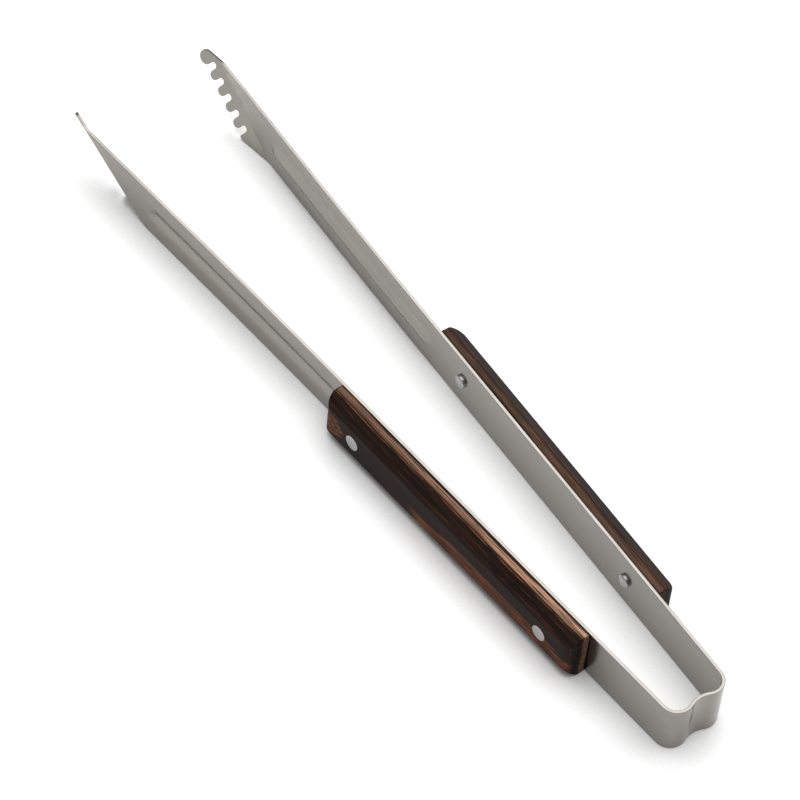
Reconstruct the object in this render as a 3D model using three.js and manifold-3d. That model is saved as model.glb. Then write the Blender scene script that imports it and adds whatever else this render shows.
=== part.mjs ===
// Spring loaded kitchen tongs: one bent steel strip with a sprung bow at the back and a
// toothed jaw at each tip, and a laminated wood grip scale riveted to each arm.
//
// Millimetres, +Z up. The strip stands on edge. The arms run from the bow towards -X. Held by
// the bow with the jaws pointing away, the left arm is on the -Y side and the right one on the
// +Y side, either side of the middle plane Y = 0.

import * as THREE from 'three';
import { mergeVertices } from 'three/addons/utils/BufferGeometryUtils.js';
import Module from 'manifold-3d';

// ---- Driving dimensions (mm, degrees) ----

const overallLength = 396;        // back of the bow to the jaw tips
const stripWidth = 25.4;          // height of the strip on edge
const stripThickness = 1.5;

const bowCornerRadius = 7.6;      // outer face of each rounded corner
const bowCornerSpacing = 15.6;    // between the centres of the two corners
const bowDimpleDepth = 1.7;       // how far the middle of the bow is pushed in
const flexSetback = 3;            // from the end of a corner to the line where the arm flexes
const flexGap = 0.3;              // clearance between the bow and an arm at that line

const armSplay = 3;               // each arm to the middle plane, at rest
const sweepAngle = 0.8;           // gentle outward curve between the scale and the jaw
const scaleToSweep = 7;           // straight strip from the scale to the start of that curve
const sweepToCrease = 36;         // and from its end to the foot of the jaw crease

const creaseAngle = 30.5;         // jaw crease to the bottom edge of the strip
const foldAngle = 23;             // how far the toothed flange is folded inwards
const flangeDepth = 10.1;         // crease to the tips of the teeth
const heelDepth = 9.6;            // crease to the square corner behind the first gullet
const gulletFloor = 4;            // crease to the bottom of the gullets
const gulletRadius = 1.6;
const gulletCount = 5;
const toothPitch = 7.87;
const tipLobeRadius = 3.5;        // tip lobe, tangent to the top edge of the strip
const tipLobeDrop = 1;            // how far the tip lobe stands past the teeth

const beadWidth = 10.5;
const beadDepth = 1.6;
const beadToScale = 2.2;          // clear strip between the bead and the front of the scale
const beadToCrease = 0.8;         // and between the bead and the foot of the jaw crease

const scaleSetback = 40;          // from the flex line to the back end of the scale
const scaleLength = 158;
const scaleThickness = 9.8;
const scaleEdgeFlat = 4.2;        // flat part of the top and bottom faces, from the strip outwards
const scaleChamferHeight = 4.8;
const scaleEndRadius = 5;         // round outer corners at both ends, seen from above

const rivetInset = 19.2;          // rivet centre to the end of the scale
const rivetHeadRadius = 3.75;
const rivetHeadThickness = 1.6;   // flush head, sunk in the wood
const rivetShankRadius = 2.4;
const rivetButtonRadius = 3.1;    // low domed button head on the inner side of the strip
const rivetButtonSide = 1;
const rivetButtonRise = 0.5;

const fitGap = 0.3;               // between a piece and what it sits on or passes through
const weldOverlap = 0.04;         // blade and flange run into each other at the crease

// ---- Mesh fineness ----

const roundSegments = 24;
const beadSegments = 72;
const lengthSegments = 14;
const arcSegments = 8;
const domeSteps = 3;
const reach = 60;                 // half size of a cutting block

// ---- Values that follow from the driving dimensions ----

const splay = THREE.MathUtils.degToRad(armSplay);
const sweep = THREE.MathUtils.degToRad(sweepAngle);
const crease = THREE.MathUtils.degToRad(creaseAngle);
const fold = THREE.MathUtils.degToRad(foldAngle);

const halfThickness = stripThickness / 2;
const cornerY = bowCornerSpacing / 2;
const flexX = -bowCornerRadius + (bowCornerRadius - halfThickness) * Math.sin(splay)
  - flexSetback * Math.cos(splay);
const flexY = cornerY + (bowCornerRadius - halfThickness) * Math.cos(splay)
  + flexSetback * Math.sin(splay);

const lobeRadius = toothPitch / 2 - gulletRadius;
const tipLobeAcross = flangeDepth + tipLobeDrop - tipLobeRadius;
const tipLobeAlong = (stripWidth - tipLobeRadius + tipLobeAcross * Math.cos(crease))
  / Math.sin(crease);
const lastGullet = tipLobeAlong - tipLobeRadius - gulletRadius;
const firstGullet = lastGullet - (gulletCount - 1) * toothPitch;
const jawReach = tipLobeAlong * Math.cos(crease)
  + tipLobeAcross * Math.sin(crease) * Math.cos(fold)
  + tipLobeRadius * Math.hypot(Math.cos(crease), Math.sin(crease) * Math.cos(fold));
const armLength = (overallLength + flexX) / Math.cos(splay + sweep / 2)
  - tipLobeAcross * Math.sin(fold) * Math.sin(splay + sweep);
const creaseStart = armLength - jawReach;

const scaleBack = scaleSetback;
const scaleFront = scaleSetback + scaleLength;
const rivetPlaces = [scaleBack + rivetInset, scaleFront - rivetInset];
const beadBack = scaleFront + beadToScale;
const beadLength = creaseStart - beadToCrease - beadBack;
const sweepStart = scaleFront + scaleToSweep;
const sweepLength = creaseStart - sweepToCrease - sweepStart;
const outerFace = halfThickness;
const innerFace = -halfThickness;
const woodFace = outerFace + scaleThickness;

// ---- Solids ----

const manifold = await Module();
manifold.setup();

/** Turns a closed three.js geometry into a solid that can be joined and cut. */
function solid(geometry) {
  const bare = geometry.index ? geometry.toNonIndexed() : geometry.clone();
  bare.deleteAttribute('normal');
  bare.deleteAttribute('uv');
  const welded = mergeVertices(bare, 1e-4);
  return new manifold.Manifold(new manifold.Mesh({
    numProp: 3,
    vertProperties: new Float32Array(welded.attributes.position.array),
    triVerts: new Uint32Array(welded.index.array),
  }));
}

/** Turns a solid back into a geometry; the right arm's is the mirror image of the left arm's. */
function geometryOf(body, mirrored = false) {
  const { vertProperties, triVerts } = body.getMesh();
  const positions = Float32Array.from(vertProperties);
  const triangles = Array.from(triVerts);
  if (mirrored) {
    for (let i = 1; i < positions.length; i += 3) positions[i] = -positions[i];
    triangles.reverse();
  }
  const geometry = new THREE.BufferGeometry();
  geometry.setAttribute('position', new THREE.BufferAttribute(positions, 3));
  geometry.setIndex(triangles);
  geometry.computeVertexNormals();
  return geometry;
}

/** A large block with one face through the point, standing on the side that the normal points to. */
function block(point, normal) {
  const geometry = new THREE.BoxGeometry(2 * reach, 2 * reach, 2 * reach);
  const turn = new THREE.Quaternion().setFromUnitVectors(
    new THREE.Vector3(0, 0, 1),
    normal.clone().normalize(),
  );
  geometry.applyQuaternion(turn);
  geometry.translate(...point.clone().addScaledVector(normal.clone().normalize(), reach).toArray());
  return geometry;
}

// Arm coordinates: X along the arm from the flex line to the tip, Y outwards from the middle of
// the strip's thickness, Z up from the bottom edge.

/** Sweeps the front of an arm gently outwards: straight, then an arc, then straight again. */
function swept(geometry) {
  const radius = sweepLength / sweep;
  const positions = geometry.attributes.position;
  for (let i = 0; i < positions.count; i += 1) {
    const along = positions.getX(i) - sweepStart;
    const out = positions.getY(i);
    if (along > 0) {
      const angle = Math.min(along, sweepLength) / radius;
      const beyond = Math.max(along - sweepLength, 0);
      const x = sweepStart + (radius - out) * Math.sin(angle) + beyond * Math.cos(angle);
      const y = radius - (radius - out) * Math.cos(angle) + beyond * Math.sin(angle);
      positions.setXY(i, x, y);
    }
  }
  return geometry;
}

/** A pin or hole along the arm's Y axis, from a profile of [radius, y] points. */
function turned(profile, along) {
  const points = profile.map(([radius, y]) => new THREE.Vector2(radius, y));
  const geometry = new THREE.LatheGeometry(points, roundSegments);
  geometry.translate(along, 0, stripWidth / 2);
  return geometry;
}

/** A straight round hole from y = from to y = to. */
function hole(radius, from, to, along) {
  return solid(turned([[0, from], [radius, from], [radius, to], [0, to]], along));
}

// ---- The bow ----

/** The bow seen from above: two round corners with a shallow dimple between them. */
function bowOutline() {
  const dimpleRadius = (cornerY ** 2 - bowCornerRadius ** 2
    + (bowCornerRadius - bowDimpleDepth) ** 2) / (2 * bowDimpleDepth);
  const dimpleX = dimpleRadius - bowDimpleDepth;
  const lean = Math.atan2(cornerY, dimpleX + bowCornerRadius);
  const turnedIn = Math.PI / 2 - splay;
  const innerRadius = bowCornerRadius - stripThickness;
  const tail = flexSetback - flexGap / 2;
  const shape = new THREE.Shape();
  const end = (side, radius) => [
    -bowCornerRadius + radius * Math.sin(splay) - tail * Math.cos(splay),
    side * (cornerY + radius * Math.cos(splay) + tail * Math.sin(splay)),
  ];
  shape.moveTo(...end(-1, bowCornerRadius));
  shape.absarc(-bowCornerRadius, -cornerY, bowCornerRadius, -turnedIn, lean, false);
  shape.absarc(dimpleX, 0, dimpleRadius, Math.PI + lean, Math.PI - lean, true);
  shape.absarc(-bowCornerRadius, cornerY, bowCornerRadius, -lean, turnedIn, false);
  shape.lineTo(...end(1, bowCornerRadius));
  shape.lineTo(...end(1, innerRadius));
  shape.absarc(-bowCornerRadius, cornerY, innerRadius, turnedIn, -lean, true);
  shape.absarc(dimpleX, 0, dimpleRadius + stripThickness, Math.PI - lean, Math.PI + lean, false);
  shape.absarc(-bowCornerRadius, -cornerY, innerRadius, lean, -turnedIn, true);
  shape.lineTo(...end(-1, innerRadius));
  return shape;
}

function bowBody() {
  return solid(new THREE.ExtrudeGeometry(bowOutline(), {
    depth: stripWidth,
    bevelEnabled: false,
    curveSegments: arcSegments,
  }));
}

// ---- The arm blade ----

/** The toothed flange laid flat: x along the crease from the bottom edge, y away from the crease. */
function flangeOutline() {
  const backing = -2 * stripThickness;
  const shape = new THREE.Shape();
  shape.moveTo(backing / Math.tan(crease), backing);
  shape.lineTo(heelDepth / Math.tan(crease), heelDepth);
  shape.lineTo(firstGullet - gulletRadius, heelDepth);
  for (let i = 0; i < gulletCount; i += 1) {
    const middle = firstGullet + i * toothPitch;
    shape.absarc(middle, gulletFloor + gulletRadius, gulletRadius, Math.PI, 2 * Math.PI, false);
    if (i < gulletCount - 1) {
      const tooth = middle + toothPitch / 2;
      shape.absarc(tooth, flangeDepth - lobeRadius, lobeRadius, Math.PI, 0, true);
    }
  }
  const topEdge = crease - Math.PI / 2;
  shape.absarc(tipLobeAlong, tipLobeAcross, tipLobeRadius, Math.PI, topEdge, true);
  shape.lineTo((stripWidth + backing * Math.cos(crease)) / Math.sin(crease), backing);
  return shape;
}

/** The folded flange, with its crease on the inner face of the blade. */
function flangeGeometry() {
  const geometry = new THREE.ExtrudeGeometry(flangeOutline(), {
    depth: stripThickness,
    bevelEnabled: false,
    curveSegments: arcSegments,
  });
  // Flat pattern x -> along the crease, y -> away from it, depth -> outwards.
  const along = new THREE.Vector3(Math.cos(crease), 0, Math.sin(crease));
  const flatAcross = new THREE.Vector3(Math.sin(crease), 0, -Math.cos(crease));
  const outwards = new THREE.Vector3(0, 1, 0);
  const across = flatAcross.clone().multiplyScalar(Math.cos(fold))
    .addScaledVector(outwards, -Math.sin(fold));
  const normal = outwards.clone().multiplyScalar(Math.cos(fold))
    .addScaledVector(flatAcross, Math.sin(fold));
  geometry.applyMatrix4(new THREE.Matrix4().makeBasis(along, across, normal));
  geometry.translate(creaseStart, innerFace, 0);
  return geometry;
}

/** The block on the toothed side of the mitre where blade and flange meet, or on the other side. */
function mitreBlock(side) {
  const flatAcross = new THREE.Vector3(Math.sin(crease), 0, -Math.cos(crease));
  const normal = flatAcross.multiplyScalar(Math.cos(fold / 2))
    .addScaledVector(new THREE.Vector3(0, 1, 0), -Math.sin(fold / 2))
    .multiplyScalar(side);
  const middle = stripWidth / 2;
  const point = new THREE.Vector3(creaseStart + middle / Math.tan(crease), innerFace, middle);
  return block(point.addScaledVector(normal, weldOverlap / 2), normal);
}

/** A round-ended rod along the arm for pressing the bead: one radius cuts, the larger one adds. */
function beadRod(extra) {
  const radius = (beadWidth ** 2 / 4 + beadDepth ** 2) / (2 * beadDepth);
  const straight = beadLength - beadWidth;
  const geometry = new THREE.CapsuleGeometry(
    radius + extra,
    straight,
    beadSegments / 4,
    beadSegments,
    lengthSegments,
  );
  geometry.rotateZ(Math.PI / 2);
  geometry.translate(
    beadBack + beadLength / 2,
    outerFace + radius - beadDepth,
    stripWidth / 2,
  );
  return solid(swept(geometry));
}

function bladeBody() {
  const start = flexGap / 2;
  const strip = new THREE.BoxGeometry(
    armLength - start,
    stripThickness,
    stripWidth,
    Math.round(armLength / lengthSegments),
  );
  strip.translate((armLength + start) / 2, 0, stripWidth / 2);
  const flange = solid(swept(flangeGeometry())).subtract(solid(swept(mitreBlock(-1))));
  const middlePlane = new THREE.Vector3((scaleFront + armLength) / 2, 0, stripWidth / 2);
  const outside = new THREE.BoxGeometry(armLength, 2 * reach, 2 * reach, lengthSegments * 2);
  outside.translate(middlePlane.x, reach, middlePlane.z);
  const ridge = beadRod(stripThickness).subtract(solid(swept(outside)));
  const floor = block(new THREE.Vector3(creaseStart, 0, 0), new THREE.Vector3(0, 0, -1));
  let blade = solid(swept(strip))
    .subtract(solid(swept(mitreBlock(1))))
    .add(flange)
    .subtract(solid(floor))
    .add(ridge)
    .subtract(beadRod(0));
  for (const along of rivetPlaces) {
    blade = blade.subtract(
      hole(rivetShankRadius + fitGap, -2 * stripThickness, 2 * stripThickness, along),
    );
  }
  return blade;
}

// ---- The grip scale and its rivets ----

/** The scale: chamfered section along the arm, trimmed to round outer corners at both ends. */
function scaleBody() {
  const seat = outerFace + fitGap;
  const edge = outerFace + scaleEdgeFlat;
  const section = new THREE.Shape([
    new THREE.Vector2(seat, 0),
    new THREE.Vector2(edge, 0),
    new THREE.Vector2(woodFace, scaleChamferHeight),
    new THREE.Vector2(woodFace, stripWidth - scaleChamferHeight),
    new THREE.Vector2(edge, stripWidth),
    new THREE.Vector2(seat, stripWidth),
  ]);
  const bar = new THREE.ExtrudeGeometry(section, { depth: scaleLength, bevelEnabled: false });
  bar.applyMatrix4(new THREE.Matrix4().makeBasis(
    new THREE.Vector3(0, 1, 0),
    new THREE.Vector3(0, 0, 1),
    new THREE.Vector3(1, 0, 0),
  ));
  bar.translate(scaleBack, 0, 0);

  const plan = new THREE.Shape();
  const shoulder = woodFace - scaleEndRadius;
  plan.moveTo(scaleBack, 0);
  plan.lineTo(scaleFront, 0);
  plan.absarc(scaleFront - scaleEndRadius, shoulder, scaleEndRadius, 0, Math.PI / 2, false);
  plan.absarc(scaleBack + scaleEndRadius, shoulder, scaleEndRadius, Math.PI / 2, Math.PI, false);
  const cookie = new THREE.ExtrudeGeometry(plan, {
    depth: stripWidth + 2,
    bevelEnabled: false,
    curveSegments: arcSegments,
  });
  cookie.translate(0, 0, -1);

  const headSeat = woodFace - rivetHeadThickness - fitGap;
  let scale = solid(bar).intersect(solid(cookie));
  for (const along of rivetPlaces) {
    scale = scale
      .subtract(hole(rivetShankRadius + fitGap, 0, woodFace + 1, along))
      .subtract(hole(rivetHeadRadius + fitGap, headSeat, woodFace + 1, along));
  }
  return scale;
}

/** A rivet: flush head in the wood, domed button head standing on the strip's inner side. */
function rivetBody(along) {
  const seat = innerFace - fitGap;
  const crown = seat - rivetButtonSide;
  const domeRadius = (rivetButtonRadius ** 2 + rivetButtonRise ** 2) / (2 * rivetButtonRise);
  const edgeTilt = Math.asin(rivetButtonRadius / domeRadius);
  const dome = [];
  for (let i = 0; i < domeSteps; i += 1) {
    const tilt = (edgeTilt * i) / domeSteps;
    dome.push([
      domeRadius * Math.sin(tilt),
      crown - rivetButtonRise + domeRadius * (1 - Math.cos(tilt)),
    ]);
  }
  return solid(turned([
    ...dome,
    [rivetButtonRadius, crown],
    [rivetButtonRadius, seat],
    [rivetShankRadius, seat],
    [rivetShankRadius, woodFace - rivetHeadThickness],
    [rivetHeadRadius, woodFace - rivetHeadThickness],
    [rivetHeadRadius, woodFace],
    [0, woodFace],
  ], along));
}

// ---- Materials ----

const steel = { color: 0x9c9892, roughness: 0.38, metalness: 1 };
const laminate = { color: 0x3a2a22, roughness: 0.45, metalness: 0 };
const rivetMetal = { color: 0xb0b0ae, roughness: 0.4, metalness: 1 };

function piece(name, geometry, finish) {
  const mesh = new THREE.Mesh(geometry, new THREE.MeshStandardMaterial(finish));
  mesh.name = name;
  return mesh;
}

// ---- Assembly ----

/** One arm: its blade, its grip scale and two rivets, turned out from the flex line. */
function arm(side, mirrored) {
  const group = new THREE.Group();
  const across = mirrored ? 1 : -1;
  group.position.set(flexX, across * flexY, 0);
  group.rotation.z = Math.PI - across * splay;
  group.add(piece(`${side}_blade`, geometryOf(bladeBody(), mirrored), steel));
  group.add(piece(`${side}_grip_scale`, geometryOf(scaleBody(), mirrored), laminate));
  ['rear', 'front'].forEach((place, i) => {
    const body = rivetBody(rivetPlaces[i]);
    group.add(piece(`${side}_${place}_rivet`, geometryOf(body, mirrored), rivetMetal));
  });
  return group;
}

const tongs = new THREE.Group();
tongs.add(piece('spring_bow', geometryOf(bowBody()), steel));
tongs.add(arm('left', false));
tongs.add(arm('right', true));

// The origin is under the middle of the tongs' length.
tongs.updateMatrixWorld(true);
const box = new THREE.Box3().setFromObject(tongs, true);
tongs.position.x = -(box.min.x + box.max.x) / 2;

export default tongs;
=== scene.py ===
"""Spring loaded kitchen tongs: the finished look of the strip, the grips and the rivets."""

import math

import bmesh
import bpy
import numpy as np
from mathutils import Matrix, Vector
from mathutils.geometry import delaunay_2d_cdt


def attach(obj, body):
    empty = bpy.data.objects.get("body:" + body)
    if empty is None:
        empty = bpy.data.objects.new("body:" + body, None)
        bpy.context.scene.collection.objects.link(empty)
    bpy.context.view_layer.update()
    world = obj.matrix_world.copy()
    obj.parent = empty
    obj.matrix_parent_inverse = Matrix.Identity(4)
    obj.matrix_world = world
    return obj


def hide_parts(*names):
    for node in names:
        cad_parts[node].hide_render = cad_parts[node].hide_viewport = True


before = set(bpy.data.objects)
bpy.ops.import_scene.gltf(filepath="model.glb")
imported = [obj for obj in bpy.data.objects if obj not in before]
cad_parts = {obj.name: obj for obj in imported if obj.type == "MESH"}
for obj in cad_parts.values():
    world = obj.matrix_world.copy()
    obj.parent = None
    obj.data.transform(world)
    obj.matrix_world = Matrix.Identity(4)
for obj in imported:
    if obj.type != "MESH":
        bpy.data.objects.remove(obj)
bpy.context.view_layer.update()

MM = 0.001

# ---- Sizes, in millimetres and degrees, as in the frame ----

OVERALL_LENGTH = 396
STRIP_WIDTH = 25.4
STRIP_THICKNESS = 1.5
STRIP_EDGE_ROUND = 0.22        # the sheared edges are tumbled smooth
EDGE_STEPS = 3                 # flats round each of those edges

BOW_CORNER_RADIUS = 7.6
BOW_CORNER_SPACING = 15.6
BOW_DIMPLE_DEPTH = 1.7
FLEX_SETBACK = 3

ARM_SPLAY = 3
SWEEP_ANGLE = 0.8
SCALE_TO_SWEEP = 7
SWEEP_TO_CREASE = 36

CREASE_ANGLE = 30.5
FOLD_ANGLE = 23
FOLD_RADIUS = 3.0
FLANGE_DEPTH = 10.1
HEEL_DEPTH = 9.6
GULLET_FLOOR = 4
GULLET_RADIUS = 1.6
GULLET_COUNT = 5
TOOTH_PITCH = 7.87
TIP_LOBE_RADIUS = 3.5
TIP_LOBE_DROP = 1

BEAD_WIDTH = 10.5
BEAD_DEPTH = 1.6
BEAD_TO_SCALE = 2.2
BEAD_TO_CREASE = 0.8
BEAD_STEEPNESS = 1.3           # how sharply the bead's flanks run down to its middle
BEAD_FLOOR_ROUND = 0.07        # of the bead's half width

SCALE_SETBACK = 40
SCALE_LENGTH = 158
SCALE_THICKNESS = 9.8
SCALE_EDGE_FLAT = 4.2
SCALE_CHAMFER_HEIGHT = 4.8
SCALE_END_RADIUS = 5
SCALE_EDGE_ROUND = 0.55
SCALE_EDGE_STEPS = 4
SCALE_END_FLATS = 17           # sanded flats round each outer end corner
SEAT_GAP = 0.02                # between the wood and the strip, too fine to see

RIVET_INSET = 19.2
RIVET_HEAD_RADIUS = 3.75
RIVET_HEAD_THICKNESS = 1.6
RIVET_SHANK_RADIUS = 2.4
RIVET_BUTTON_RADIUS = 3.1
RIVET_BUTTON_SIDE = 1.2
RIVET_BUTTON_RISE = 0.5
RIVET_EDGE_ROUND = 0.15
RIVET_HEAD_PROUD = 0.03        # the sanded head stands this much above the wood
RIVET_HEAD_CROWN = 0.03        # and rises this much more to its middle
RIVET_SIDES = 64
HOLE_GAP = 0.1

SPLAY = math.radians(ARM_SPLAY)
SWEEP = math.radians(SWEEP_ANGLE)
CREASE = math.radians(CREASE_ANGLE)
FOLD = math.radians(FOLD_ANGLE)
HALF_T = STRIP_THICKNESS / 2
BACK_X = OVERALL_LENGTH / 2
FLEX_X = BACK_X - BOW_CORNER_RADIUS + (BOW_CORNER_RADIUS - HALF_T) * math.sin(SPLAY) \
    - FLEX_SETBACK * math.cos(SPLAY)
FLEX_Y = BOW_CORNER_SPACING / 2 + (BOW_CORNER_RADIUS - HALF_T) * math.cos(SPLAY) \
    + FLEX_SETBACK * math.sin(SPLAY)

LOBE_RADIUS = TOOTH_PITCH / 2 - GULLET_RADIUS
TIP_ACROSS = FLANGE_DEPTH + TIP_LOBE_DROP - TIP_LOBE_RADIUS
TIP_ALONG = (STRIP_WIDTH - TIP_LOBE_RADIUS + TIP_ACROSS * math.cos(CREASE)) / math.sin(CREASE)
LAST_GULLET = TIP_ALONG - TIP_LOBE_RADIUS - GULLET_RADIUS
FIRST_GULLET = LAST_GULLET - (GULLET_COUNT - 1) * TOOTH_PITCH
JAW_REACH = TIP_ALONG * math.cos(CREASE) + TIP_ACROSS * math.sin(CREASE) * math.cos(FOLD) \
    + TIP_LOBE_RADIUS * math.hypot(math.cos(CREASE), math.sin(CREASE) * math.cos(FOLD))
ARM_LENGTH = (OVERALL_LENGTH - BACK_X + FLEX_X) / math.cos(SPLAY + SWEEP / 2) \
    - TIP_ACROSS * math.sin(FOLD) * math.sin(SPLAY + SWEEP)
CREASE_START = ARM_LENGTH - JAW_REACH
SCALE_BACK = SCALE_SETBACK
SCALE_FRONT = SCALE_SETBACK + SCALE_LENGTH
SWEEP_START = SCALE_FRONT + SCALE_TO_SWEEP
SWEEP_LENGTH = CREASE_START - SWEEP_TO_CREASE - SWEEP_START
BEAD_BACK = SCALE_FRONT + BEAD_TO_SCALE
BEAD_FRONT = CREASE_START - BEAD_TO_CREASE
RIVETS = {"rear": SCALE_BACK + RIVET_INSET, "front": SCALE_FRONT - RIVET_INSET}
WOOD_FACE = HALF_T + SCALE_THICKNESS

SIDES = {"left": -1, "right": 1}


# ---- Small helpers ----

SHARP_ANGLE = 50               # edges that turn by more stay crisp
FACE_WEIGHT = 80               # how far a large face outweighs a small one, 50 is not at all


def linear(hex_colour):
    """An sRGB hex colour as linear RGBA."""
    def channel(c):
        c /= 255
        return c / 12.92 if c <= 0.04045 else ((c + 0.055) / 1.055) ** 2.4
    value = hex_colour.lstrip("#")
    return tuple(channel(int(value[i:i + 2], 16)) for i in (0, 2, 4)) + (1.0,)


def on_arm(points, side):
    """Arm coordinates (along, outwards, up) in mm to the frame, in metres."""
    p = np.array(points, dtype=float).reshape(-1, 3)
    along, out, up = p[:, 0].copy(), p[:, 1].copy(), p[:, 2]
    radius = SWEEP_LENGTH / SWEEP
    past = along - SWEEP_START
    angle = np.clip(past, 0, SWEEP_LENGTH) / radius
    beyond = np.maximum(past - SWEEP_LENGTH, 0)
    bent = past > 0
    along = np.where(
        bent, SWEEP_START + (radius - out) * np.sin(angle) + beyond * np.cos(angle), along)
    out = np.where(
        bent, radius - (radius - out) * np.cos(angle) + beyond * np.sin(angle), out)
    x = FLEX_X - along * math.cos(SPLAY) + out * math.sin(SPLAY)
    y = side * (FLEX_Y + along * math.sin(SPLAY) + out * math.cos(SPLAY))
    return np.stack([x, y, up], axis=1) * MM


def write_grain(mesh, grain):
    layer = mesh.attributes.new("grain", "FLOAT_VECTOR", "POINT")
    layer.data.foreach_set("vector", np.asarray(grain, dtype=np.float32).ravel())


def mesh_object(name, verts, faces, material, grain):
    """A mesh object with outward normals and its own grain coordinates in mm."""
    mesh = bpy.data.meshes.new(name)
    mesh.from_pydata([tuple(v) for v in verts], [], faces)
    write_grain(mesh, grain)
    bm = bmesh.new()
    bm.from_mesh(mesh)
    bmesh.ops.remove_doubles(bm, verts=bm.verts, dist=1e-6)
    bmesh.ops.recalc_face_normals(bm, faces=bm.faces)
    for face in bm.faces:
        face.smooth = True
    bm.to_mesh(mesh)
    bm.free()
    mesh.materials.append(material)
    obj = bpy.data.objects.new(name, mesh)
    bpy.context.collection.objects.link(obj)
    return obj


def keep_flats_flat(obj):
    """Shades by face area, so flats stay flat beside their rounded edges, and ends stay crisp."""
    obj.data.set_sharp_from_angle(angle=math.radians(SHARP_ANGLE))
    weigh = obj.modifiers.new("flat faces", "WEIGHTED_NORMAL")
    weigh.keep_sharp = True
    weigh.weight = FACE_WEIGHT


# ---- Materials ----

def node(tree, kind, values=None, stops=(), **settings):
    """Adds a node, sets its properties and fills its inputs with values or links. A node given
    as a value is linked from its first output. A colour ramp takes (position, hex) stops."""
    made = tree.nodes.new(kind)
    for key, value in settings.items():
        setattr(made, key, value)
    for key, value in (values or {}).items():
        if isinstance(value, bpy.types.Node):
            value = next(output for output in value.outputs if output.enabled)
        if isinstance(value, bpy.types.NodeSocket):
            tree.links.new(value, made.inputs[key])
        else:
            made.inputs[key].default_value = value
    if stops:
        band = made.color_ramp
        while len(band.elements) < len(stops):
            band.elements.new(1.0)
        for element, (position, colour) in zip(band.elements, stops):
            element.position = position
            element.color = linear(colour)
    return made


def new_material(name):
    material = bpy.data.materials.new(name)
    material.use_nodes = True
    tree = material.node_tree
    tree.nodes.clear()
    return material, tree


def belt_finished_stainless():
    # Stainless strip, rolled and finished on a fine belt along its length: an even satin grey
    # with hair-thin lines that run with the strip, and soft blurred reflections.
    material, tree = new_material("stainless strip, fine belt finish")
    place = node(tree, "ShaderNodeAttribute", attribute_name="grain").outputs["Vector"]
    # Belt lines: 0.25 mm apart and about 12 mm long, drawn twice as coarse as real ones.
    lines = node(tree, "ShaderNodeMapping", {"Vector": place, "Scale": (0.08, 1.0, 4.0)})
    belt = node(tree, "ShaderNodeTexNoise", {
        "Vector": lines, "Scale": 1.0, "Detail": 3.0, "Roughness": 0.6})
    colour = node(tree, "ShaderNodeValToRGB", {"Fac": belt}, [(0.3, "#87837e"), (0.7, "#928e88")])
    bump = node(tree, "ShaderNodeBump", {
        "Height": belt, "Strength": 0.06, "Distance": 0.00004})
    # Handling haze: clouds about 15 mm across that are slightly duller.
    clouds = node(tree, "ShaderNodeMapping", {"Vector": place, "Scale": (0.05, 1.0, 0.09)})
    haze = node(tree, "ShaderNodeTexNoise", {
        "Vector": clouds, "Scale": 1.0, "Detail": 2.0, "Roughness": 0.5})
    rough = node(tree, "ShaderNodeMapRange", {
        "Value": haze, "From Min": 0.3, "From Max": 0.7, "To Min": 0.18, "To Max": 0.25})
    shader = node(tree, "ShaderNodeBsdfPrincipled", {
        "Base Color": colour, "Metallic": 1.0, "Roughness": rough, "Normal": bump})
    node(tree, "ShaderNodeOutputMaterial", {"Surface": shader})
    return material


def sanded_aluminium():
    # Soft aluminium rivets, the outer heads sanded flush: pale, evenly dull, faint scratches.
    material, tree = new_material("aluminium rivet, sanded flush")
    place = node(tree, "ShaderNodeAttribute", attribute_name="grain").outputs["Vector"]
    # Sanding marks: 0.3 mm apart, 5 mm long.
    marks = node(tree, "ShaderNodeMapping", {"Vector": place, "Scale": (0.2, 0.5, 3.0)})
    scratches = node(tree, "ShaderNodeTexNoise", {"Vector": marks, "Scale": 1.0, "Detail": 3.0})
    colour = node(tree, "ShaderNodeValToRGB", {"Fac": scratches}, [
        (0.3, "#9b9b99"), (0.7, "#adadab")])
    rough = node(tree, "ShaderNodeMapRange", {"Value": scratches, "To Min": 0.28, "To Max": 0.4})
    shader = node(tree, "ShaderNodeBsdfPrincipled", {
        "Base Color": colour, "Metallic": 1.0, "Roughness": rough})
    node(tree, "ShaderNodeOutputMaterial", {"Surface": shader})
    return material


# The grip's plies, from the strip outwards, and the joints between them: mm from the strip, colour.
VENEERS = ["#1f1613", "#33271f", "#3a2c24", "#30241e", "#281e1a", "#1e1713", "#1a1411", "#221a16"]
VENEER_JOINTS = [(0.45, "#5a3022"), (1.5, "#9c6f55"), (2.5, "#a36c4a"), (3.3, "#7a4c35"),
                 (4.4, "#a0633d"), (6.3, "#55301f"), (8.3, "#5a3222")]
JOINT_HALF_WIDTH = 0.17


def veneer_bands(tree, depth):
    """Ramps of the plies, and of the joints alone on black, by mm from the strip."""
    bands, joints = [(0.0, VENEERS[0])], [(0.0, "#000000")]
    for (at, colour), before, after in zip(VENEER_JOINTS, VENEERS, VENEERS[1:]):
        low, high = ((at + d) / SCALE_THICKNESS for d in (-JOINT_HALF_WIDTH, JOINT_HALF_WIDTH))
        bands += [(low, before), (high, after)]
        joints += [(low, "#000000"), (at / SCALE_THICKNESS, colour), (high, "#000000")]
    share = node(tree, "ShaderNodeMath", {0: depth, 1: SCALE_THICKNESS}, operation="DIVIDE")
    return (node(tree, "ShaderNodeValToRGB", {"Fac": share}, bands),
            node(tree, "ShaderNodeValToRGB", {"Fac": share}, joints))


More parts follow.
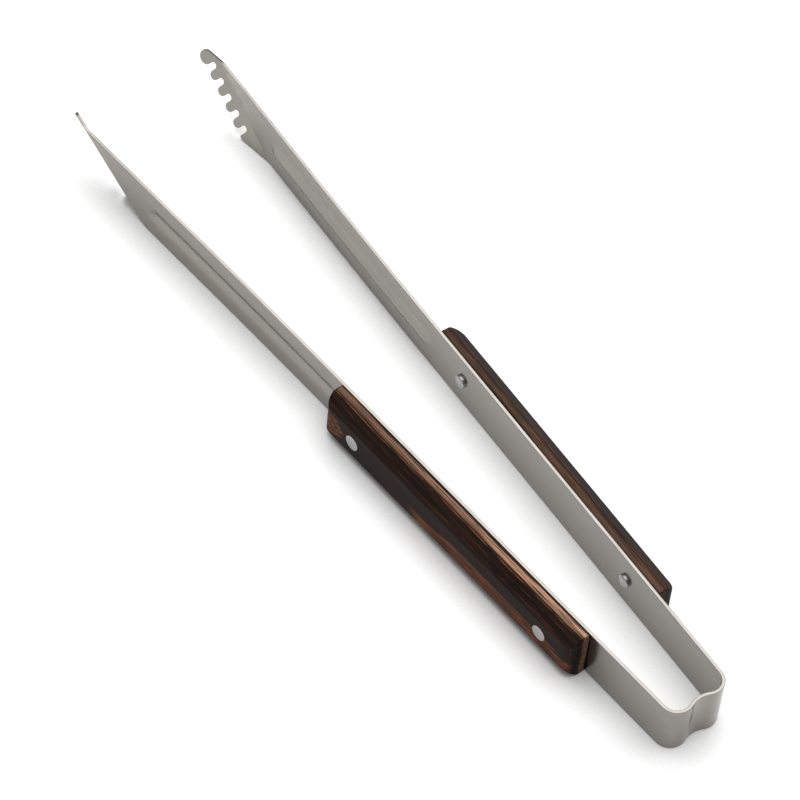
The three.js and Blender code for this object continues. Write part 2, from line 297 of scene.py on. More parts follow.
def resin_laminated_veneer(name, seed, tan_and_highlight_share):
    # Dyed birch veneers pressed with resin, sawn and sanded: nearly black plies with thin
    # copper joints, tan fibres where the top face cuts the plies, and brown ovals on the
    # outer face where it runs into the next veneer. The tan fibres and the brightness of the
    # joints are partly a painted highlight, strongest on the left grip and towards the rear.
    material, tree = new_material(name)
    place = node(tree, "ShaderNodeAttribute", attribute_name="grain").outputs["Vector"]
    axes = node(tree, "ShaderNodeSeparateXYZ", {"Vector": place})
    along, out, up = (axes.outputs[axis] for axis in "XYZ")

    def streaks(per_mm, detail, roughness=0.5):
        stretched = node(tree, "ShaderNodeMapping", {
            "Vector": place, "Scale": per_mm, "Location": (seed, 0, 0)})
        return node(tree, "ShaderNodeTexNoise", {
            "Vector": stretched, "Scale": 1.0, "Detail": detail, "Roughness": roughness})

    # The veneers wander by most of a millimetre over 60 mm, with a finer ripple every 10 mm.
    wander = node(tree, "ShaderNodeMapRange", {
        "Value": streaks((0.016, 0.09, 0.06), 2.0, 0.4), "From Min": 0.2, "From Max": 0.8,
        "To Min": -0.9, "To Max": 0.9})
    ripple = node(tree, "ShaderNodeMapRange", {
        "Value": streaks((0.10, 0.3, 0.3), 2.0), "From Min": 0.2, "From Max": 0.8,
        "To Min": -0.2, "To Max": 0.2})
    moved = node(tree, "ShaderNodeMath", {0: out, 1: wander}, operation="ADD")
    layer = node(tree, "ShaderNodeMath", {0: moved, 1: ripple}, operation="ADD")
    plies, joints = veneer_bands(tree, layer)

    # Joints fade in and out every 8 mm or so, and are brighter by the highlight share: a painted
    # highlight.
    broken = node(tree, "ShaderNodeMapRange", {
        "Value": streaks((0.12, 0.8, 0.8), 3.0), "From Min": 0.38, "From Max": 0.6,
        "To Min": 0.1, "To Max": 0.5 + 0.5 * tan_and_highlight_share})
    joint = node(tree, "ShaderNodeVectorMath", {0: joints, 1: broken}, operation="MULTIPLY")
    lined = node(tree, "ShaderNodeVectorMath", {0: plies, 1: joint}, operation="MAXIMUM")

    # Tan fibres, 0.3 mm apart and 20 mm long, in the plies next to the strip, most at the rear;
    # that rise to the rear is a painted highlight.
    past_first = node(tree, "ShaderNodeMapRange", {
        "Value": layer, "From Min": 0.5, "From Max": 0.9})
    before_fourth = node(tree, "ShaderNodeMapRange", {
        "Value": layer, "From Min": 3.9, "From Max": 3.0})
    near_strip = node(tree, "ShaderNodeMath", {0: past_first, 1: before_fourth},
                      operation="MULTIPLY")
    rear_highlight = node(tree, "ShaderNodeMapRange", {
        "Value": along, "From Min": SCALE_FRONT - 20, "From Max": SCALE_BACK,
        "To Min": 0.25 * tan_and_highlight_share, "To Max": tan_and_highlight_share})
    tan = node(tree, "ShaderNodeMapRange", {
        "Value": streaks((0.05, 3.2, 0.6), 3.0, 0.6), "From Min": 0.42, "From Max": 0.56})
    tan = node(tree, "ShaderNodeMath", {0: tan, 1: near_strip}, operation="MULTIPLY")
    tan = node(tree, "ShaderNodeMath", {0: tan, 1: rear_highlight}, operation="MULTIPLY")
    fibred = node(tree, "ShaderNodeMix", {
        "Factor": tan, "A": lined, "B": linear("#c79a7c")}, data_type="RGBA")

    # Red-brown dye shows through in patches about 30 mm long.
    red = node(tree, "ShaderNodeMapRange", {
        "Value": streaks((0.03, 0.5, 0.5), 3.0), "From Min": 0.5, "From Max": 0.72,
        "To Max": 0.35})
    warm = node(tree, "ShaderNodeMix", {
        "Factor": red, "A": fibred, "B": linear("#4a2a20")}, data_type="RGBA")

    # The outer face runs into the next veneer in long pointed ovals near its lower edge.
    ragged_edge = streaks((0.02, 0.6, 0.6), 3.0)

    def oval(centre_along, centre_up, half_length, half_height):
        x = node(tree, "ShaderNodeMath", {0: along, 1: centre_along}, operation="SUBTRACT")
        y = node(tree, "ShaderNodeMath", {0: up, 1: centre_up}, operation="SUBTRACT")
        x = node(tree, "ShaderNodeMath", {0: x, 1: half_length}, operation="DIVIDE")
        y = node(tree, "ShaderNodeMath", {0: y, 1: half_height}, operation="DIVIDE")
        both = node(tree, "ShaderNodeCombineXYZ", {"X": x, "Y": y})
        size = node(tree, "ShaderNodeVectorMath", {0: both}, operation="LENGTH")
        ragged = node(tree, "ShaderNodeMath", {0: ragged_edge, 1: 0.9, 2: size},
                      operation="MULTIPLY_ADD")
        return node(tree, "ShaderNodeMath", {0: ragged, 1: 0.45}, operation="SUBTRACT")

    rear = oval(SCALE_BACK + 48, 7.0, 62, 7.5)
    front = oval(SCALE_FRONT, 12.0, 15, 8.5)
    patch = node(tree, "ShaderNodeMath", {0: rear, 1: front}, operation="MINIMUM")
    patch_colour = node(tree, "ShaderNodeValToRGB", {"Fac": patch}, [
        (0.0, "#5c3728"), (0.3, "#4a2d21"), (0.42, "#744533"), (0.47, "#3b251c"),
        (0.66, "#54321f"), (0.76, "#7a4a34"), (0.82, "#33211a"), (1.0, "#221a16")])
    inside_oval = node(tree, "ShaderNodeMapRange", {
        "Value": patch, "From Min": 1.0, "From Max": 0.7})
    outer_face = node(tree, "ShaderNodeMapRange", {
        "Value": out, "From Min": 6.5, "From Max": 9.0})
    cover = node(tree, "ShaderNodeMath", {0: inside_oval, 1: outer_face}, operation="MULTIPLY")
    faced = node(tree, "ShaderNodeMix", {
        "Factor": cover, "A": warm, "B": patch_colour}, data_type="RGBA")

    # Pores and fibres: 0.4 mm apart, about 14 mm long. Sawn ends drink the dye and go dark.
    fibre = streaks((0.07, 2.6, 2.6), 4.0, 0.62)
    grainy = node(tree, "ShaderNodeMapRange", {
        "Value": fibre, "From Min": 0.25, "From Max": 0.75, "To Min": 0.55, "To Max": 1.5})
    from_front = node(tree, "ShaderNodeMapRange", {
        "Value": along, "From Min": SCALE_FRONT - 0.2, "From Max": SCALE_FRONT - 1.0,
        "To Min": 0.4})
    from_back = node(tree, "ShaderNodeMapRange", {
        "Value": along, "From Min": SCALE_BACK + 0.2, "From Max": SCALE_BACK + 1.0,
        "To Min": 0.4})
    ends = node(tree, "ShaderNodeMath", {0: from_front, 1: from_back}, operation="MULTIPLY")
    tone = node(tree, "ShaderNodeMath", {0: grainy, 1: ends}, operation="MULTIPLY")
    colour = node(tree, "ShaderNodeVectorMath", {0: faced, 1: tone}, operation="MULTIPLY")
    rough = node(tree, "ShaderNodeMapRange", {"Value": fibre, "To Min": 0.42, "To Max": 0.62})
    bump = node(tree, "ShaderNodeBump", {
        "Height": fibre, "Strength": 0.25, "Distance": 0.00008})
    shader = node(tree, "ShaderNodeBsdfPrincipled", {
        "Base Color": colour, "Roughness": rough, "Normal": bump, "IOR": 1.5,
        "Specular IOR Level": 0.05})
    node(tree, "ShaderNodeOutputMaterial", {"Surface": shader})
    return material


STEEL = belt_finished_stainless()
# The left grip gets the full tan share, partly a painted highlight; the right grip gets little of
# it.
WOOD = {
    "left": resin_laminated_veneer("resin laminated veneer, sanded, left grip", 0.0, 1.0),
    "right": resin_laminated_veneer("resin laminated veneer, sanded, right grip", 7.3, 0.12)}
RIVET_METAL = sanded_aluminium()


# ---- The arm blades: a flat cut shape, rounded at its edges, then pressed and folded ----

def arc(centre, radius, start, end, step=0.45):
    count = max(3, int(abs(end - start) * radius / step))
    angles = np.linspace(start, end, count + 1)
    return np.stack([centre[0] + radius * np.cos(angles),
                     centre[1] + radius * np.sin(angles)], axis=1)


def line(start, end, step):
    count = max(1, int(round(math.dist(start, end) / step)))
    t = np.linspace(0, 1, count + 1)[:, None]
    return np.array(start) * (1 - t) + np.array(end) * t


def crease_to_flat(points):
    """(along the crease, away from it) to (along the strip, up) on the flat strip."""
    a, q = points[:, 0], points[:, 1]
    return np.stack([CREASE_START + a * math.cos(CREASE) + q * math.sin(CREASE),
                     a * math.sin(CREASE) - q * math.cos(CREASE)], axis=1)


def tooth_row():
    parts = [line((HEEL_DEPTH / math.tan(CREASE), HEEL_DEPTH),
                  (FIRST_GULLET - GULLET_RADIUS, HEEL_DEPTH), 0.4)]
    for i in range(GULLET_COUNT):
        middle = FIRST_GULLET + i * TOOTH_PITCH
        floor = GULLET_FLOOR + GULLET_RADIUS
        parts.append(line(parts[-1][-1], (middle - GULLET_RADIUS, floor), 0.5))
        parts.append(arc((middle, floor), GULLET_RADIUS, math.pi, 2 * math.pi))
        if i < GULLET_COUNT - 1:
            crown = FLANGE_DEPTH - LOBE_RADIUS
            tooth = middle + TOOTH_PITCH / 2
            parts.append(line(parts[-1][-1], (tooth - LOBE_RADIUS, crown), 0.5))
            parts.append(arc((tooth, crown), LOBE_RADIUS, math.pi, 0))
    parts.append(line(parts[-1][-1], (TIP_ALONG - TIP_LOBE_RADIUS, TIP_ACROSS), 0.5))
    parts.append(arc((TIP_ALONG, TIP_ACROSS), TIP_LOBE_RADIUS, math.pi, CREASE - math.pi / 2))
    return crease_to_flat(np.concatenate(parts))


def without_repeats(points, closed=True):
    kept = [points[0]]
    for p in points[1:]:
        if math.dist(p, kept[-1]) > 0.05:
            kept.append(p)
    if closed and math.dist(kept[0], kept[-1]) < 0.05:
        kept.pop()
    return np.array(kept)


def blade_outline():
    teeth = tooth_row()
    bottom = line((0, 0), teeth[0], 1.2)
    top = line(teeth[-1], (0, STRIP_WIDTH), 1.2)
    back = line((0, STRIP_WIDTH), (0, 0), 1.2)
    return without_repeats(np.concatenate([bottom, teeth, top, back]))


def inset(loop, distance):
    """Moves a counter-clockwise loop inwards; a clockwise one, a hole, outwards."""
    before, after = np.roll(loop, 1, axis=0), np.roll(loop, -1, axis=0)

    def normals(vectors):
        n = np.stack([-vectors[:, 1], vectors[:, 0]], axis=1)
        return n / np.linalg.norm(n, axis=1, keepdims=True)
    n = normals(loop - before) + normals(after - loop)
    n /= np.maximum(np.linalg.norm(n, axis=1, keepdims=True), 1e-9)
    cosine = np.sum(n * normals(after - loop), axis=1, keepdims=True)
    return loop + n * distance / np.maximum(cosine, 0.6)


def inside(points, loop):
    x, y = points[:, 0][:, None], points[:, 1][:, None]
    x0, y0 = loop[:, 0][None], loop[:, 1][None]
    x1, y1 = np.roll(loop[:, 0], -1)[None], np.roll(loop[:, 1], -1)[None]
    crosses = (y0 > y) != (y1 > y)
    with np.errstate(divide="ignore", invalid="ignore"):
        at = (x1 - x0) * (y - y0) / (y1 - y0) + x0
    return (np.sum(crosses & (x < at), axis=1) % 2) == 1


FOLD_FROM = HALF_T * math.tan(FOLD / 2) - FOLD_RADIUS * math.tan(FOLD / 2)
FOLD_RUN = FOLD_RADIUS * FOLD


def pressed(flat, offset):
    """Flat strip points, offset through the thickness, with the bead pressed and jaw folded."""
    u, v = flat[:, 0], flat[:, 1]
    # The bead: a channel with round ends, pressed inwards, steepest towards its middle line.
    half = BEAD_WIDTH / 2
    centre = (BEAD_BACK + BEAD_FRONT) / 2
    run = (BEAD_FRONT - BEAD_BACK) / 2 - half
    du = np.maximum(np.abs(u - centre) - run, 0)
    r = np.hypot(du, v - STRIP_WIDTH / 2) / half
    r = np.sqrt(r * r + BEAD_FLOOR_ROUND ** 2)
    deepest = (1 - BEAD_FLOOR_ROUND) ** BEAD_STEEPNESS
    dent = -BEAD_DEPTH * np.clip(1 - r, 0, None) ** BEAD_STEEPNESS / deepest
    # The fold: straight up to the bend, round it, and straight again.
    q = (u - CREASE_START) * math.sin(CREASE) - v * math.cos(CREASE)
    a = (u - CREASE_START) * math.cos(CREASE) + v * math.sin(CREASE)
    past = q - FOLD_FROM
    turn = np.clip(past, 0, FOLD_RUN) / FOLD_RADIUS
    beyond = np.maximum(past - FOLD_RUN, 0)
    flat_run = np.where(past > 0, FOLD_RADIUS * np.sin(turn) + beyond * np.cos(turn), past)
    out = np.where(past > 0, -FOLD_RADIUS * (1 - np.cos(turn)) - beyond * np.sin(turn), 0.0)
    flat_run = flat_run + FOLD_FROM + offset * np.sin(turn)
    out = out + offset * np.cos(turn) + dent
    along = CREASE_START + a * math.cos(CREASE) + flat_run * math.sin(CREASE)
    up = a * math.sin(CREASE) - flat_run * math.cos(CREASE)
    return np.stack([along, out, up], axis=1)


def edge_profile():
    """(inset, offset) steps round the strip's edge, from its outer face to its inner face."""
    r = STRIP_EDGE_ROUND
    quarter = [(r * (1 - math.sin(t)), r * (1 - math.cos(t)))
               for t in np.linspace(0, math.pi / 2, EDGE_STEPS + 1)]
    outer = [(i, HALF_T - d) for i, d in quarter]
    return outer + [(i, -o) for i, o in reversed(outer)]


GRID_ALONG, GRID_UP = 1.1, 0.6  # mm between points on a face
BEND_ALONG = 1.0               # and along the rows of the bend
BEND_ROWS = 7
BEND_CLEAR = 0.5               # plain grid points keep this far from the bend
EDGE_CLEAR = 0.42              # and all points this far from an edge


def blade(side_name):
    side = SIDES[side_name]
    outline = blade_outline()
    hole_radius = RIVET_SHANK_RADIUS + HOLE_GAP
    loops = [outline] + [
        without_repeats(arc((at, STRIP_WIDTH / 2), hole_radius, 0, -2 * math.pi, 0.5))
        for at in RIVETS.values()]
    profile = edge_profile()
    at_bow = outline[:, 0] < 1e-6

    def shrunk(loop, distance):
        # The back end stays square, so that it meets the bow without a step.
        moved = inset(loop, distance)
        if loop is outline:
            moved[at_bow, 0] = 0
        return moved

    face_loops = [shrunk(loop, profile[0][0]) for loop in loops]

    # Points across the face: a plain grid, and closer rows along the bend.
    grid_u = np.arange(0.6, ARM_LENGTH + 2, GRID_ALONG)
    grid_v = np.arange(0.5, STRIP_WIDTH, GRID_UP)
    grid = np.stack(np.meshgrid(grid_u, grid_v), axis=-1).reshape(-1, 2)
    q = (grid[:, 0] - CREASE_START) * math.sin(CREASE) - grid[:, 1] * math.cos(CREASE)
    grid = grid[(q < FOLD_FROM - BEND_CLEAR) | (q > FOLD_FROM + FOLD_RUN + BEND_CLEAR)]
    rows = np.linspace(FOLD_FROM - 0.15, FOLD_FROM + FOLD_RUN + 0.15, BEND_ROWS)
    bend = np.stack(np.meshgrid(np.arange(-2, TIP_ALONG + 3, BEND_ALONG), rows), axis=-1)
    grid = np.concatenate([grid, crease_to_flat(bend.reshape(-1, 2))])
    grid = grid[inside(grid, face_loops[0])]
    for loop in face_loops:
        nearest = np.full(len(grid), 1e9)
        for start in range(0, len(loop), 200):
            part = loop[start:start + 200]
            gap = np.linalg.norm(grid[:, None] - part[None], axis=2).min(axis=1)
            nearest = np.minimum(nearest, gap)
        grid = grid[nearest > EDGE_CLEAR]
    for at in RIVETS.values():
        gap = np.hypot(grid[:, 0] - at, grid[:, 1] - STRIP_WIDTH / 2)
        grid = grid[gap > hole_radius + EDGE_CLEAR]

    flat_points, edges, starts = [], [], []
    for loop in face_loops:
        first = len(flat_points)
        starts.append(first)
        flat_points += [Vector(p) for p in loop]
        edges += [(first + i, first + (i + 1) % len(loop)) for i in range(len(loop))]
    flat_points += [Vector(p) for p in grid]
    out_points, _, triangles, origins, _, _ = delaunay_2d_cdt(flat_points, edges, [], 1, 1e-5)
    flat = np.array([tuple(p) for p in out_points])
    centres = np.array([flat[list(t)].mean(axis=0) for t in triangles])
    solid = np.ones(len(triangles), dtype=bool)
    for at in RIVETS.values():
        solid &= np.hypot(centres[:, 0] - at, centres[:, 1] - STRIP_WIDTH / 2) > hole_radius
    solid &= inside(centres, face_loops[0])
    triangles = [t for t, ok in zip(triangles, solid) if ok]
    index = {old: new for new, olds in enumerate(origins) for old in olds}

    count = len(flat)
    verts = [pressed(flat, HALF_T), pressed(flat, -HALF_T)]
    flats = [flat, flat]
    faces = [tuple(t) for t in triangles]
    faces += [tuple(count + i for i in reversed(t)) for t in triangles]
    total = 2 * count
    for loop, first in zip(loops, starts):
        n = len(loop)
        previous = [index[first + i] for i in range(n)]
        for step in range(1, len(profile) - 1):
            ring = shrunk(loop, profile[step][0])
            verts.append(pressed(ring, profile[step][1]))
            flats.append(ring)
            current = list(range(total, total + n))
            total += n
            faces += [(previous[i], current[i], current[(i + 1) % n], previous[(i + 1) % n])
                      for i in range(n)]
            previous = current
        last = [count + index[first + i] for i in range(n)]
        faces += [(previous[i], last[i], last[(i + 1) % n], previous[(i + 1) % n])
                  for i in range(n)]
    arm_points = np.concatenate(verts)
    flat_all = np.concatenate(flats)
    # One strip: its grain runs on from one arm through the bow into the other.
    run = flat_all[:, 0] if side < 0 else -path_length(bow_path()) - flat_all[:, 0]
    grain = np.stack([run, np.zeros(len(run)), flat_all[:, 1]], axis=1)
    obj = mesh_object(f"{side_name}_arm_strip", on_arm(arm_points, side), faces, STEEL, grain)
    keep_flats_flat(obj)
    return obj


# ---- The spring bow: the strip's section swept round two corners and a dimple ----

def bow_path():
    """Middle of the strip's thickness, from the left flex line round to the right one."""
    corner_y = BOW_CORNER_SPACING / 2
    dimple = (corner_y ** 2 - BOW_CORNER_RADIUS ** 2
              + (BOW_CORNER_RADIUS - BOW_DIMPLE_DEPTH) ** 2) / (2 * BOW_DIMPLE_DEPTH)
    centre_x = BACK_X - BOW_CORNER_RADIUS
    dimple_x = BACK_X + dimple - BOW_DIMPLE_DEPTH
    lean = math.atan2(corner_y, dimple_x - centre_x)
    middle = BOW_CORNER_RADIUS - HALF_T
    turned = math.pi / 2 - SPLAY
    tail = line((FLEX_X, -FLEX_Y),
                (centre_x + middle * math.cos(-turned), -corner_y + middle * math.sin(-turned)),
                0.6)
    left = arc((centre_x, -corner_y), middle, -turned, lean, 0.3)
    dip = arc((dimple_x, 0), dimple + HALF_T, math.pi + lean, math.pi - lean, 0.4)
    half = without_repeats(np.concatenate([tail, left, dip]), closed=False)
    first = half[half[:, 1] < -1e-6]
    other = first[::-1] * np.array([1, -1])
    return np.concatenate([first, [[BACK_X - BOW_DIMPLE_DEPTH - HALF_T, 0]], other])


def path_length(path):
    return float(np.linalg.norm(np.diff(path, axis=0), axis=1).sum())


def poly_curve(name, points):
    data = bpy.data.curves.new(name, "CURVE")
    data.dimensions = "3D"
    spline = data.splines.new("POLY")
    spline.points.add(len(points) - 1)
    for point, place in zip(spline.points, points):
        point.co = (*(MM * c for c in place), 1)
    obj = bpy.data.objects.new(name, data)
    bpy.context.collection.objects.link(obj)
    return obj


def geometry_tree(name, inputs):
    """An empty geometry tree with named inputs, as (tree, input node, output node)."""
    tree = bpy.data.node_groups.new(name, "GeometryNodeTree")
    tree.interface.new_socket("Geometry", in_out="INPUT", socket_type="NodeSocketGeometry")
    for label, kind in inputs:
        tree.interface.new_socket(label, in_out="INPUT", socket_type=kind)
    tree.interface.new_socket("Geometry", in_out="OUTPUT", socket_type="NodeSocketGeometry")
    return tree, node(tree, "NodeGroupInput"), node(tree, "NodeGroupOutput")


def grown(name, carrier, tree, values):
    """Runs a geometry tree on a carrier and keeps the result as a plain mesh object."""
    modifier = carrier.modifiers.new("grow", "NODES")
    modifier.node_group = tree
    sockets = {item.name: item.identifier for item in tree.interface.items_tree
               if item.item_type == "SOCKET" and item.in_out == "INPUT"}
    for label, value in values.items():
        modifier[sockets[label]] = value
    carrier.update_tag()
    bpy.context.view_layer.update()
    evaluated = carrier.evaluated_get(bpy.context.evaluated_depsgraph_get())
    mesh = bpy.data.meshes.new_from_object(evaluated)
    mesh.name = name
    obj = bpy.data.objects.new(name, mesh)
    bpy.context.collection.objects.link(obj)
    bpy.data.objects.remove(carrier)
    return obj


def spring_bow():
    """The strip's section, a rectangle with rounded edges, swept along the bow's path."""
    tree, given, result = geometry_tree("strip swept round the bow", [
        ("Strip width", "NodeSocketFloat"), ("Strip thickness", "NodeSocketFloat"),
        ("Edge round", "NodeSocketFloat"), ("Finish", "NodeSocketMaterial")])
    rectangle = node(tree, "GeometryNodeCurvePrimitiveQuadrilateral", {
        "Width": given.outputs["Strip thickness"], "Height": given.outputs["Strip width"]})
    section = node(tree, "GeometryNodeFilletCurve", {
        "Curve": rectangle, "Radius": given.outputs["Edge round"], "Count": EDGE_STEPS},
        mode="POLY")
    sweep = node(tree, "GeometryNodeCurveToMesh", {
        "Curve": given.outputs["Geometry"], "Profile Curve": section, "Fill Caps": True})
    real = node(tree, "GeometryNodeRealizeInstances", {"Geometry": sweep})
    finish = node(tree, "GeometryNodeSetMaterial", {
        "Geometry": real, "Material": given.outputs["Finish"]})
    tree.links.new(finish.outputs["Geometry"], result.inputs["Geometry"])
    path_points = bow_path()
    path = poly_curve("bow path", [(x, y, STRIP_WIDTH / 2) for x, y in path_points])
    obj = grown("bow_strip", path, tree, {
        "Strip width": STRIP_WIDTH * MM, "Strip thickness": STRIP_THICKNESS * MM,
        "Edge round": STRIP_EDGE_ROUND * MM, "Finish": STEEL})
    mesh = obj.data
    points = np.array([tuple(v.co) for v in mesh.vertices]) / MM
    run = np.concatenate([[0], np.cumsum(np.linalg.norm(np.diff(path_points, axis=0), axis=1))])
    gap = np.linalg.norm(points[:, None, :2] - path_points[None], axis=2)
    grain = np.stack([-run[gap.argmin(axis=1)], np.zeros(len(points)), points[:, 2]], axis=1)
    write_grain(mesh, grain)
    mesh.polygons.foreach_set("use_smooth", [True] * len(mesh.polygons))
    bm = bmesh.new()
    bm.from_mesh(mesh)
    bmesh.ops.recalc_face_normals(bm, faces=bm.faces)
    bm.to_mesh(mesh)
    bm.free()
    keep_flats_flat(obj)
    return obj


# ---- The grip scales ----

def scale_grip(side_name):
    side = SIDES[side_name]
    seat, edge = HALF_T + SEAT_GAP, HALF_T + SCALE_EDGE_FLAT
    section = [(seat, 0), (edge, 0), (WOOD_FACE, SCALE_CHAMFER_HEIGHT),
               (WOOD_FACE, STRIP_WIDTH - SCALE_CHAMFER_HEIGHT), (edge, STRIP_WIDTH),
               (seat, STRIP_WIDTH)]
    bm = bmesh.new()
    ends = [[bm.verts.new((x, out, up)) for out, up in section] for x in (SCALE_BACK, SCALE_FRONT)]
    bm.faces.new(ends[0])
    bm.faces.new(reversed(ends[1]))
    for i in range(len(section)):
        j = (i + 1) % len(section)
        bm.faces.new((ends[0][i], ends[1][i], ends[1][j], ends[0][j]))
    bmesh.ops.recalc_face_normals(bm, faces=bm.faces)

    # Both outer end corners are rounded on a sander: many small flats close to one arc.
    shoulder = WOOD_FACE - SCALE_END_RADIUS
    for centre_x, direction in ((SCALE_FRONT - SCALE_END_RADIUS, 1),
                                (SCALE_BACK + SCALE_END_RADIUS, -1)):
        for angle in np.radians(np.linspace(5, 85, SCALE_END_FLATS)):
            normal = Vector((direction * math.cos(angle), math.sin(angle), 0))
            point = Vector((centre_x, shoulder, 0)) + normal * SCALE_END_RADIUS
            cut = bmesh.ops.bisect_plane(
                bm, geom=bm.verts[:] + bm.edges[:] + bm.faces[:], plane_co=point,
                plane_no=normal, clear_outer=True)
            rim = [e for e in cut["geom_cut"] if isinstance(e, bmesh.types.BMEdge)]
            bmesh.ops.contextual_create(bm, geom=rim)
    bmesh.ops.remove_doubles(bm, verts=bm.verts, dist=1e-4)
    bmesh.ops.recalc_face_normals(bm, faces=bm.faces)
    sharp = [e for e in bm.edges if e.is_manifold and e.calc_face_angle() > math.radians(12)]
    bmesh.ops.bevel(bm, geom=sharp, offset=SCALE_EDGE_ROUND, segments=SCALE_EDGE_STEPS, profile=0.5,
                    affect="EDGES", clamp_overlap=True)
    bmesh.ops.remove_doubles(bm, verts=bm.verts, dist=1e-3)
    bmesh.ops.recalc_face_normals(bm, faces=bm.faces)
    points = np.array([tuple(v.co) for v in bm.verts])
    bm.verts.index_update()
    faces = [tuple(v.index for v in f.verts) for f in bm.faces]
    bm.free()
    grain = points.copy()
    grain[:, 1] -= HALF_T
    obj = mesh_object(f"{side_name}_grip", on_arm(points, side), faces, WOOD[side_name], grain)
    keep_flats_flat(obj)
    return obj


# ---- The rivets ----

def rivet_profile():
    """(radius, outwards) from the middle of the button head round to that of the flush head."""
    seat = -HALF_T
    crown = seat - RIVET_BUTTON_SIDE
    dome = (RIVET_BUTTON_RADIUS ** 2 + RIVET_BUTTON_RISE ** 2) / (2 * RIVET_BUTTON_RISE)
    soft = RIVET_EDGE_ROUND
    half_round = soft * (1 - math.sqrt(0.5))
    edge_tilt = math.asin((RIVET_BUTTON_RADIUS - soft) / dome)
    button = [(dome * math.sin(t), crown - RIVET_BUTTON_RISE + dome * (1 - math.cos(t)))
              for t in np.linspace(0, edge_tilt, 8)]
    head = WOOD_FACE + RIVET_HEAD_PROUD
    under_head = WOOD_FACE - RIVET_HEAD_THICKNESS
    return button + [
        (RIVET_BUTTON_RADIUS - half_round, crown + half_round),
        (RIVET_BUTTON_RADIUS, crown + soft), (RIVET_BUTTON_RADIUS, seat),
        (RIVET_SHANK_RADIUS, seat), (RIVET_SHANK_RADIUS, under_head),
        (RIVET_HEAD_RADIUS, under_head), (RIVET_HEAD_RADIUS, head - soft),
        (RIVET_HEAD_RADIUS - half_round, head - half_round),
        (RIVET_HEAD_RADIUS - soft, head),
        (RIVET_HEAD_RADIUS * 0.6, head + RIVET_HEAD_CROWN * 2 / 3),
        (0, head + RIVET_HEAD_CROWN)]


def rivet_master(side):
    """One rivet about the Y axis of an arm, turned to that arm's angle, at the origin."""
    profile = rivet_profile()
    count = RIVET_SIDES
    verts, faces = [], []
    for radius, out in profile:
        if radius == 0:
            verts.append((0, out, 0))
            continue
        for k in range(count):
            angle = 2 * math.pi * k / count
            verts.append((radius * math.cos(angle), out, radius * math.sin(angle)))
    last = len(verts) - 1
    rings = [list(range(1 + i * count, 1 + (i + 1) * count)) for i in range(len(profile) - 2)]
    for k in range(count):
        m = (k + 1) % count
        faces.append((0, rings[0][k], rings[0][m]))
        faces.append((last, rings[-1][m], rings[-1][k]))
        for a, b in zip(rings, rings[1:]):
            faces.append((a[k], b[k], b[m], a[m]))
    points = np.array(verts)
    x = -points[:, 0] * math.cos(SPLAY) + points[:, 1] * math.sin(SPLAY)
    y = side * (points[:, 0] * math.sin(SPLAY) + points[:, 1] * math.cos(SPLAY))
    placed = np.stack([x, y, points[:, 2]], axis=1) * MM
    return mesh_object("rivet master", placed, faces, RIVET_METAL, points)


def rivet_tree():
    """Sets one rivet on each point of its carrier."""
    tree, given, result = geometry_tree("rivets through the grip", [
        ("Rivet", "NodeSocketObject"), ("Finish", "NodeSocketMaterial")])
    shape = node(tree, "GeometryNodeObjectInfo", {"Object": given.outputs["Rivet"]})
    placed = node(tree, "GeometryNodeInstanceOnPoints", {
        "Points": given.outputs["Geometry"], "Instance": shape.outputs["Geometry"]})
    real = node(tree, "GeometryNodeRealizeInstances", {"Geometry": placed})
    finish = node(tree, "GeometryNodeSetMaterial", {
        "Geometry": real, "Material": given.outputs["Finish"]})
    tree.links.new(finish.outputs["Geometry"], result.inputs["Geometry"])
    return tree


def rivet(side_name, place, tree):
    side = SIDES[side_name]
    centre = on_arm([(RIVETS[place], 0, STRIP_WIDTH / 2)], side)[0]
    mesh = bpy.data.meshes.new("rivet place")
    mesh.from_pydata([tuple(centre)], [], [])
    carrier = bpy.data.objects.new("rivet place", mesh)
    bpy.context.collection.objects.link(carrier)
    master = rivet_master(side)
    obj = grown(f"{side_name}_{place}_rivet_finished", carrier, tree,
                {"Rivet": master, "Finish": RIVET_METAL})
    bpy.data.objects.remove(master)
    obj.data.polygons.foreach_set("use_smooth", [True] * len(obj.data.polygons))
    keep_flats_flat(obj)
    return obj


bow = spring_bow()
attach(bow, "bow")
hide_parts("spring_bow")

rivets = rivet_tree()
for side_name in SIDES:
    body = f"{side_name}_arm"
    strip = blade(side_name)
    grip = scale_grip(side_name)
    for piece, stands_for, slot in ((strip, "blade", "strip_steel"),
                                    (grip, "grip_scale", "laminated_wood")):
        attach(piece, body)
        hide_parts(f"{side_name}_{stands_for}")
    for place in RIVETS:
        pin = rivet(side_name, place, rivets)
        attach(pin, body)
        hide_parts(f"{side_name}_{place}_rivet")


# ---- Floor, light and camera: metres, watts and degrees ----

FLOOR_HALF = 6.0
FLOOR_BELOW = 0.0002
SOFTBOX_PLACE = (-0.28, 0.5, 1.5)
SOFTBOX_SIDE = 2.2
SOFTBOX_POWER = 40
WALLS_STRENGTH = 0.34

CAMERA_AZIMUTH = 48.735
CAMERA_ELEVATION = 52.377
CAMERA_ROLL = 5.951
CAMERA_DISTANCE = 1.66411
CAMERA_LENS = 177.46           # mm, on a sensor 36 mm wide
CAMERA_SENSOR = 36
AIM_X = -0.003
AIM_BELOW = 0.00572


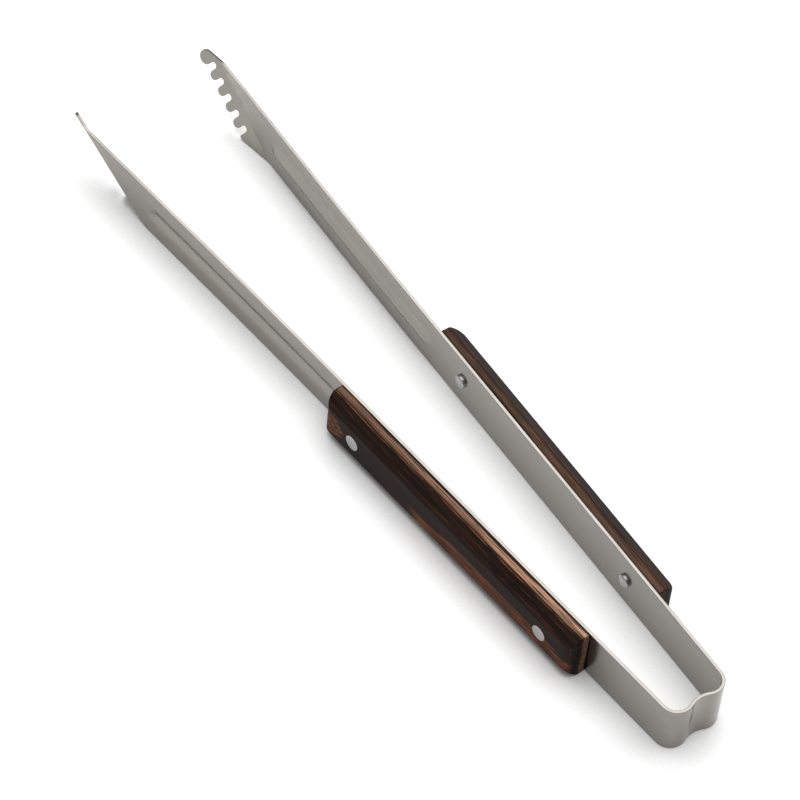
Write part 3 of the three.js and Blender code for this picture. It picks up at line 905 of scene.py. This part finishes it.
def floor():
    # White seamless paper: matt, without gloss.
    material, tree = new_material("white seamless paper")
    place = node(tree, "ShaderNodeTexCoord").outputs["Object"]
    # Paper fibres: about 1 mm long.
    fibre = node(tree, "ShaderNodeTexNoise", {"Vector": place, "Scale": 900.0, "Detail": 2.0})
    colour = node(tree, "ShaderNodeValToRGB", {"Fac": fibre}, [(0.3, "#fbfbfb"), (0.7, "#ffffff")])
    shader = node(tree, "ShaderNodeBsdfPrincipled", {"Base Color": colour, "Roughness": 0.9})
    node(tree, "ShaderNodeOutputMaterial", {"Surface": shader})
    half, low = FLOOR_HALF, -FLOOR_BELOW
    mesh = bpy.data.meshes.new("floor")
    mesh.from_pydata([(-half, -half, low), (half, -half, low), (half, half, low),
                      (-half, half, low)], [], [(0, 1, 2, 3)])
    mesh.materials.append(material)
    obj = bpy.data.objects.new("floor", mesh)
    bpy.context.collection.objects.link(obj)


def overhead_softbox():
    data = bpy.data.lights.new("overhead softbox", "AREA")
    data.size = SOFTBOX_SIDE
    data.energy = SOFTBOX_POWER
    obj = bpy.data.objects.new("overhead softbox", data)
    obj.location = SOFTBOX_PLACE
    bpy.context.collection.objects.link(obj)


def studio_walls():
    """Even white light from all around."""
    world = bpy.data.worlds.new("studio walls")
    bpy.context.scene.world = world
    world.use_nodes = True
    background = world.node_tree.nodes["Background"]
    background.inputs["Color"].default_value = (1, 1, 1, 1)
    background.inputs["Strength"].default_value = WALLS_STRENGTH


def camera():
    az, el, roll = map(math.radians, (CAMERA_AZIMUTH, CAMERA_ELEVATION, CAMERA_ROLL))
    back = Vector((math.sin(az) * math.cos(el), -math.cos(az) * math.cos(el), math.sin(el)))
    right = Vector((math.cos(az), math.sin(az), 0))
    up = back.cross(right)
    right, up = (math.cos(roll) * right + math.sin(roll) * up,
                 math.cos(roll) * up - math.sin(roll) * right)
    data = bpy.data.cameras.new("camera")
    data.lens = CAMERA_LENS
    data.sensor_width = CAMERA_SENSOR
    obj = bpy.data.objects.new("camera", data)
    aim = Vector((AIM_X, 0, STRIP_WIDTH / 2 * MM)) - up * AIM_BELOW
    place = aim + back * CAMERA_DISTANCE
    obj.matrix_world = Matrix((
        (right.x, up.x, back.x, place.x), (right.y, up.y, back.y, place.y),
        (right.z, up.z, back.z, place.z), (0, 0, 0, 1)))
    bpy.context.collection.objects.link(obj)
    bpy.context.scene.camera = obj


floor()
overhead_softbox()
studio_walls()
camera()
bpy.context.scene.view_settings.view_transform = "Standard"
